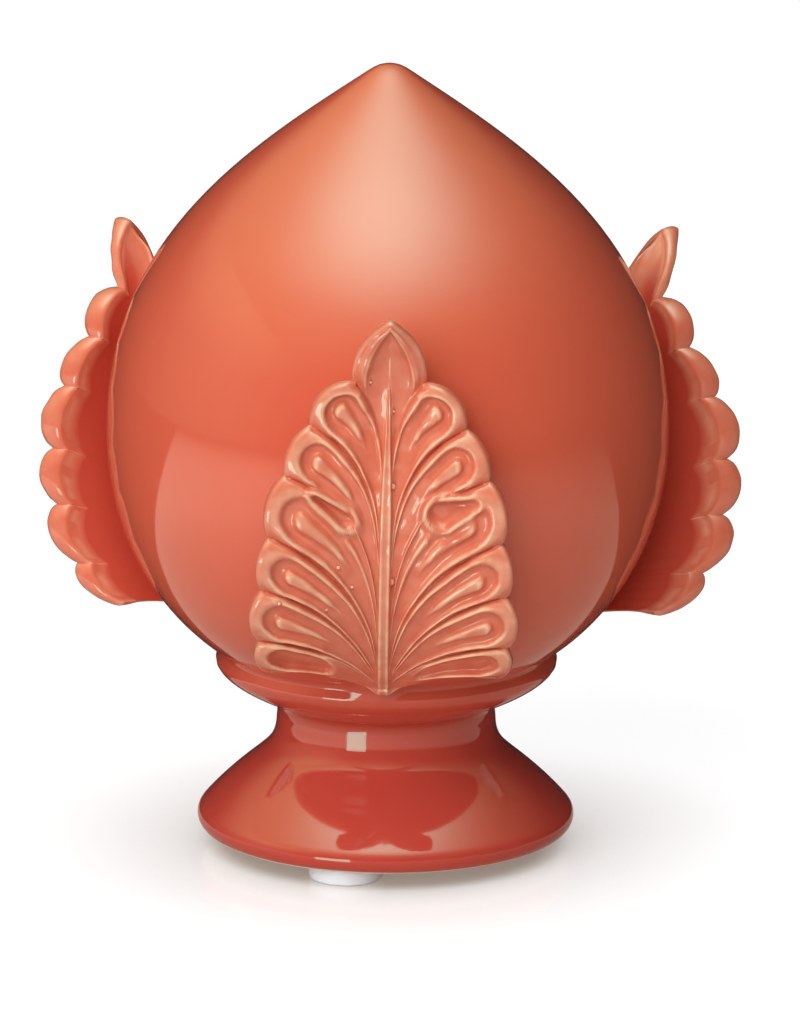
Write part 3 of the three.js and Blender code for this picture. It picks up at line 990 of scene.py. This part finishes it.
def noise(tree, where, scale, detail):
    """Cloudy noise, nought to one, with about that many lumps in a metre."""
    inputs = {"Vector": where, "Scale": scale, "Detail": detail}
    return add(tree, "ShaderNodeTexNoise", inputs)


def coat(pieces, made, shader):
    """Ends the material with that shader and puts it on the pieces."""
    add(made.node_tree, "ShaderNodeOutputMaterial", {"Surface": shader})
    for piece in pieces:
        piece.data.materials.append(made)


print("coral in linear light", [round(c, 3) for c in colour("#de654a")[:3]])

# %% [markdown]
# ### Coral glaze on white porcelain
# A coloured glaze is a layer of glass, so it is smooth and reflects about four per cent, IOR
# 1.5. Thin on an edge it is pale peach, thick in a hollow it is deep coral red. That deep
# colour is laid on more strongly as painted shade in the channels, folds and seams and on the
# leaves' backs. From a little above the collar down it is deeper coral too. Its tone drifts over
# some centimetres, and long shallow waves and a few pinholes bend its reflections. The ring it
# stands on was wiped before firing and shows cream, matt porcelain.

# %% Coral glaze
glaze, tree = new_material("coral_glaze_on_porcelain")
where = add(tree, "ShaderNodeTexCoord", output="Object")
thin_there = add(tree, "ShaderNodeAttribute", attribute_name="glaze_thin", output="Fac")
pool_and_shade_there = add(tree, "ShaderNodeAttribute", attribute_name="glaze_pool_and_shade", output="Fac")
# tone drifts over about 40 mm, mottles are about 3 mm wide
drift = noise(tree, where, 25, 2)
mottle = noise(tree, where, 330, 3)
tone = mixture(tree, drift, colour("#da5e44"), colour("#de654a"))
# the coral turns deeper from a little above the collar down to the foot
height = add(tree, "ShaderNodeSeparateXYZ", {0: where}, output="Z")
deeper_below_collar = ranged(tree, height, (0.048, 0.018), (0, 0.95))
# the pooled share, which is also painted shade in channels, folds, seams and on the leaves' backs,
# deepens the coral
pool_and_shade_depth = maths(tree, "MULTIPLY", pool_and_shade_there, 0.6)
deep_share = maths(tree, "MAXIMUM", pool_and_shade_depth, deeper_below_collar)
deep = mixture(tree, deep_share, tone, colour("#bb4236"))
# on the edges it breaks in patches
uneven = ranged(tree, mottle, (0.3, 0.7), (0.6, 1.2))
break_there = maths(tree, "MULTIPLY", thin_there, uneven, use_clamp=True)
skin = mixture(tree, break_there, deep, colour("#f5c09a"))
# the wiped ring reaches up the bead to about a millimetre above the table side of the porcelain
waver = maths(tree, "MULTIPLY_ADD", drift, 0.0008, height)
bare = ranged(tree, waver, (0.0041, 0.0038))
final_colour = mixture(tree, bare, skin, colour("#e9d9c3"))
rough = add(tree, "ShaderNodeMix", {0: bare, 2: 0.07, 3: 0.7})
# waves about 11 mm long and pinholes about 8 mm apart
swell = noise(tree, where, 90, 1)
pin = add(tree, "ShaderNodeTexVoronoi", {"Vector": where, "Scale": 130}, output="Distance")
pit = ranged(tree, pin, (0.03, 0.06))
relief = maths(tree, "MULTIPLY_ADD", pit, 0.12, swell)
bump = {"Strength": 0.25, "Distance": 0.0004, "Height": relief}
bumped = add(tree, "ShaderNodeBump", bump)
glassy = {"Base Color": final_colour, "Roughness": rough, "Normal": bumped, "IOR": 1.5}
shader = add(tree, "ShaderNodeBsdfPrincipled", glassy)
coat([porcelain], glaze, shader)
print("glaze has", len(tree.nodes), "nodes")

# %% [markdown]
# ### White polyurethane
# Cast soft polyurethane is slightly cloudy and has a satin skin, so its highlights are wide.

# %% White polyurethane
rubber, tree = new_material("white_polyurethane")
where = add(tree, "ShaderNodeTexCoord", output="Object")
cloud = noise(tree, where, 400, 2)
tint = mixture(tree, cloud, colour("#e4e7ee"), colour("#f2f4f8"))
bump = {"Strength": 0.1, "Distance": 0.0002, "Height": cloud}
bumped = add(tree, "ShaderNodeBump", bump)
satin = {"Base Color": tint, "Roughness": 0.38, "Normal": bumped, "IOR": 1.5}
shader = add(tree, "ShaderNodeBsdfPrincipled", satin)
coat(pads, rubber, shader)
print("rubber has", len(tree.nodes), "nodes")

# %% [markdown]
# ## Table and light
# The piece stands on a white table. Glossy ware shows the whole studio in its skin: the lower
# half of the bud mirrors the lit part of the table and the dimmer room beyond it, the top
# mirrors soft cloths overhead and on the left, and the neck a small window. Those five are
# panels that only reflections see. What lights the piece is a big soft light from the front
# left and a weaker one overhead.

# %% Table and mirrored panels
def rectangle(name, low, high):
    """The rectangle between two opposite corners, in metres; one of its three extents is nought."""
    low, high = np.array(low, float), np.array(high, float)
    a, b = np.flatnonzero(high > low)
    corners = np.array([low, low, high, high])
    corners[1, a], corners[3, a] = high[a], low[a]
    made = as_object(name, corners, [(0, 1, 2, 3)])
    made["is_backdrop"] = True
    return made


table = rectangle("table", (-1.5, -1.2, 0), (1.5, 3, 0))
acrylic, tree = new_material("white_acrylic_table")
where = add(tree, "ShaderNodeTexCoord", output="Object")
haze = noise(tree, where, 8, 1)
sheen = add(tree, "ShaderNodeMix", {0: haze, 2: 0.12, 3: 0.16})
gloss = {"Base Color": colour("#989898"), "Roughness": sheen, "IOR": 1.45}
white = add(tree, "ShaderNodeBsdfPrincipled", gloss)
# the table's glow is darkened by ambient occlusion where the piece is close above it: a painted
# contact shadow on top of the real shading of its gloss
open_there = add(tree, "ShaderNodeAmbientOcclusion", {"Distance": 0.06}, samples=24, output="AO")
open_share = ranged(tree, open_there, (0.12, 0.85))
shade = mixture(tree, open_share, colour("#8f8078"), colour("#ffffff"))
below = add(tree, "ShaderNodeEmission", {"Color": shade, "Strength": 0.9})
lit_white = add(tree, "ShaderNodeAddShader", {0: white, 1: below})
grey = add(tree, "ShaderNodeBsdfDiffuse", {"Color": colour("#ece8e6")})
seen = add(tree, "ShaderNodeLightPath", output="Is Camera Ray")
shader = add(tree, "ShaderNodeMixShader", {0: seen, 1: grey, 2: lit_white})
coat([table], acrylic, shader)
table.visible_glossy = False


def faded_panel(name, low, high, spot, spread, strength, tint, shaded=0):
    """Adds strength * e^(-(distance to the spot)^2 / (2 spread^2)); only reflections see it.

    Near the piece it is less by the share shaded, because the piece keeps light off.
    """
    panel = rectangle(name, low, high)
    panel.visible_camera = panel.visible_diffuse = panel.visible_shadow = False
    panel.visible_transmission = panel.visible_volume_scatter = False
    cloth, tree = new_material(name)
    where = add(tree, "ShaderNodeTexCoord", output="Object")
    away, off = [
        add(tree, "ShaderNodeVectorMath", {0: where, 1: end}, output="Value", operation="DISTANCE")
        for end in ((0, 0, 0), spot)
    ]
    square = maths(tree, "MULTIPLY", off, off)
    fall = maths(tree, "EXPONENT", maths(tree, "MULTIPLY", square, -0.5 / spread**2))
    near = ranged(tree, away, (0.04, 0.2), (strength * (1 - shaded), strength))
    light = maths(tree, "MULTIPLY", fall, near)
    shine = add(tree, "ShaderNodeEmission", {"Color": colour(tint), "Strength": light})
    through = add(tree, "ShaderNodeBsdfTransparent")
    both = add(tree, "ShaderNodeAddShader", {0: shine, 1: through})
    coat([panel], cloth, both)


# name, two corners, brightest spot, spread, strength, tint and share shaded
faded_panel(
    "lit_table", (-2, -1.5, -0.0003), (2, 0.048, -0.0003), (-0.3, -0.1, 0),
    0.38, 2.1, "#ffe8d2", 0.7,
)
faded_panel(
    "overhead_cloth", (-2.2, -2.4, 1.17), (2.2, 1.5, 1.17), (-0.04, -0.2, 1.17), 0.4, 6.9, "#b4ffec"
)
faded_panel("wide_cloth", (-4, -4.5, 1.18), (4, 4, 1.18), (-0.6, 0, 1.18), 1.1, 2.05, "#fff0a8")
faded_panel("left_cloth", (-1.3, -2.4, 0), (-1.3, 1.6, 1.1), (-1.3, -0.3, 0.6), 0.6, 0.9, "#fff0c0")
faded_panel(
    "window", (-0.185, -0.217, -0.05), (-0.08, -0.217, 0.03), (-0.15, -0.217, 0), 5, 8, "#a8ffe8"
)
print("table and five mirrored panels")

# %% Room and lamps
CENTRE = Vector((0, axis_y * MM, 0.07))


def around(azimuth, elevation, distance):
    """A spot seen from the centre at that azimuth (0 in front, 90 on the right) and elevation."""
    a, e = math.radians(azimuth), math.radians(elevation)
    way = Vector((math.sin(a) * math.cos(e), -math.cos(a) * math.cos(e), math.sin(e)))
    return CENTRE + distance * way


def far_lamp(name, azimuth, elevation, spread, strength):
    """Light from one side as wide as spread, in degrees, the same everywhere on the table."""
    data = bpy.data.lights.new(name, "SUN")
    data.angle, data.energy = math.radians(spread), strength
    far = bpy.data.objects.new(name, data)
    far.location = around(azimuth, elevation, 1.5)
    far.rotation_euler = (CENTRE - far.location).to_track_quat("-Z", "Y").to_euler()
    far.visible_glossy = False
    bpy.context.scene.collection.objects.link(far)


far_lamp("key_front_left", -25, 33, 60, 2.6)
far_lamp("overhead", 0, 80, 90, 0.4)

room = bpy.data.worlds.new("room")
room.use_nodes = True
tree = room.node_tree
tree.nodes.clear()
# how bright the room is in a reflection, as soft light, and behind the piece in the picture
dim, soft, bright = [
    add(tree, "ShaderNodeBackground", {"Color": colour("#ffffff"), "Strength": level})
    for level in (0.02, 0.11, 1.0)
]
softly = add(tree, "ShaderNodeLightPath", output="Is Diffuse Ray")
lit = add(tree, "ShaderNodeMixShader", {0: softly, 1: dim, 2: soft})
seen = add(tree, "ShaderNodeLightPath", output="Is Camera Ray")
both = add(tree, "ShaderNodeMixShader", {0: seen, 1: lit, 2: bright})
add(tree, "ShaderNodeOutputWorld", {"Surface": both})
bpy.context.scene.world = room
bpy.context.scene.view_settings.view_transform = "Standard"
print("lamps", len(bpy.data.lights))

# %% [markdown]
# ## Camera
# The picture was taken with a long lens from a little above. How strongly the near side of the
# foot bulges against the far one gives the distance, and the ellipse of the foot the height. The
# camera looks slightly below and to the right of the middle, and leans a third of a degree.

# %% Camera
DISTANCE, ELEVATION, LEAN = 1.218, 13.2, 0.35
MM_PER_PIXEL, PICTURE_HEIGHT, SENSOR = 0.174, 1013, 36.0
OFF_RIGHT, OFF_DOWN = 12.7, 53.2
lens = bpy.data.cameras.new("camera")
lens.sensor_width = SENSOR
lens.lens = SENSOR * DISTANCE / (MM_PER_PIXEL * MM) / PICTURE_HEIGHT
lens.clip_start, lens.clip_end = 0.05, 20
camera = bpy.data.objects.new("camera", lens)
bpy.context.scene.collection.objects.link(camera)
rise = math.radians(ELEVATION)
camera.location = around(0, ELEVATION, DISTANCE)
upwards = Vector((0, math.sin(rise), math.cos(rise)))
aim = CENTRE + (Vector((1, 0, 0)) * OFF_RIGHT - upwards * OFF_DOWN) * MM_PER_PIXEL * MM
camera.rotation_mode = "QUATERNION"
facing = (aim - camera.location).to_track_quat("-Z", "Y")
camera.rotation_quaternion = facing @ Quaternion((0, 0, 1), math.radians(LEAN))
bpy.context.scene.camera = camera
print("lens", round(lens.lens), "mm")

# %% [markdown]
# ## Size
# The dressed model's box is printed.

# %% Sizes
low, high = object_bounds()
print("dressed", [round(v, 4) for v in low], [round(v, 4) for v in high])
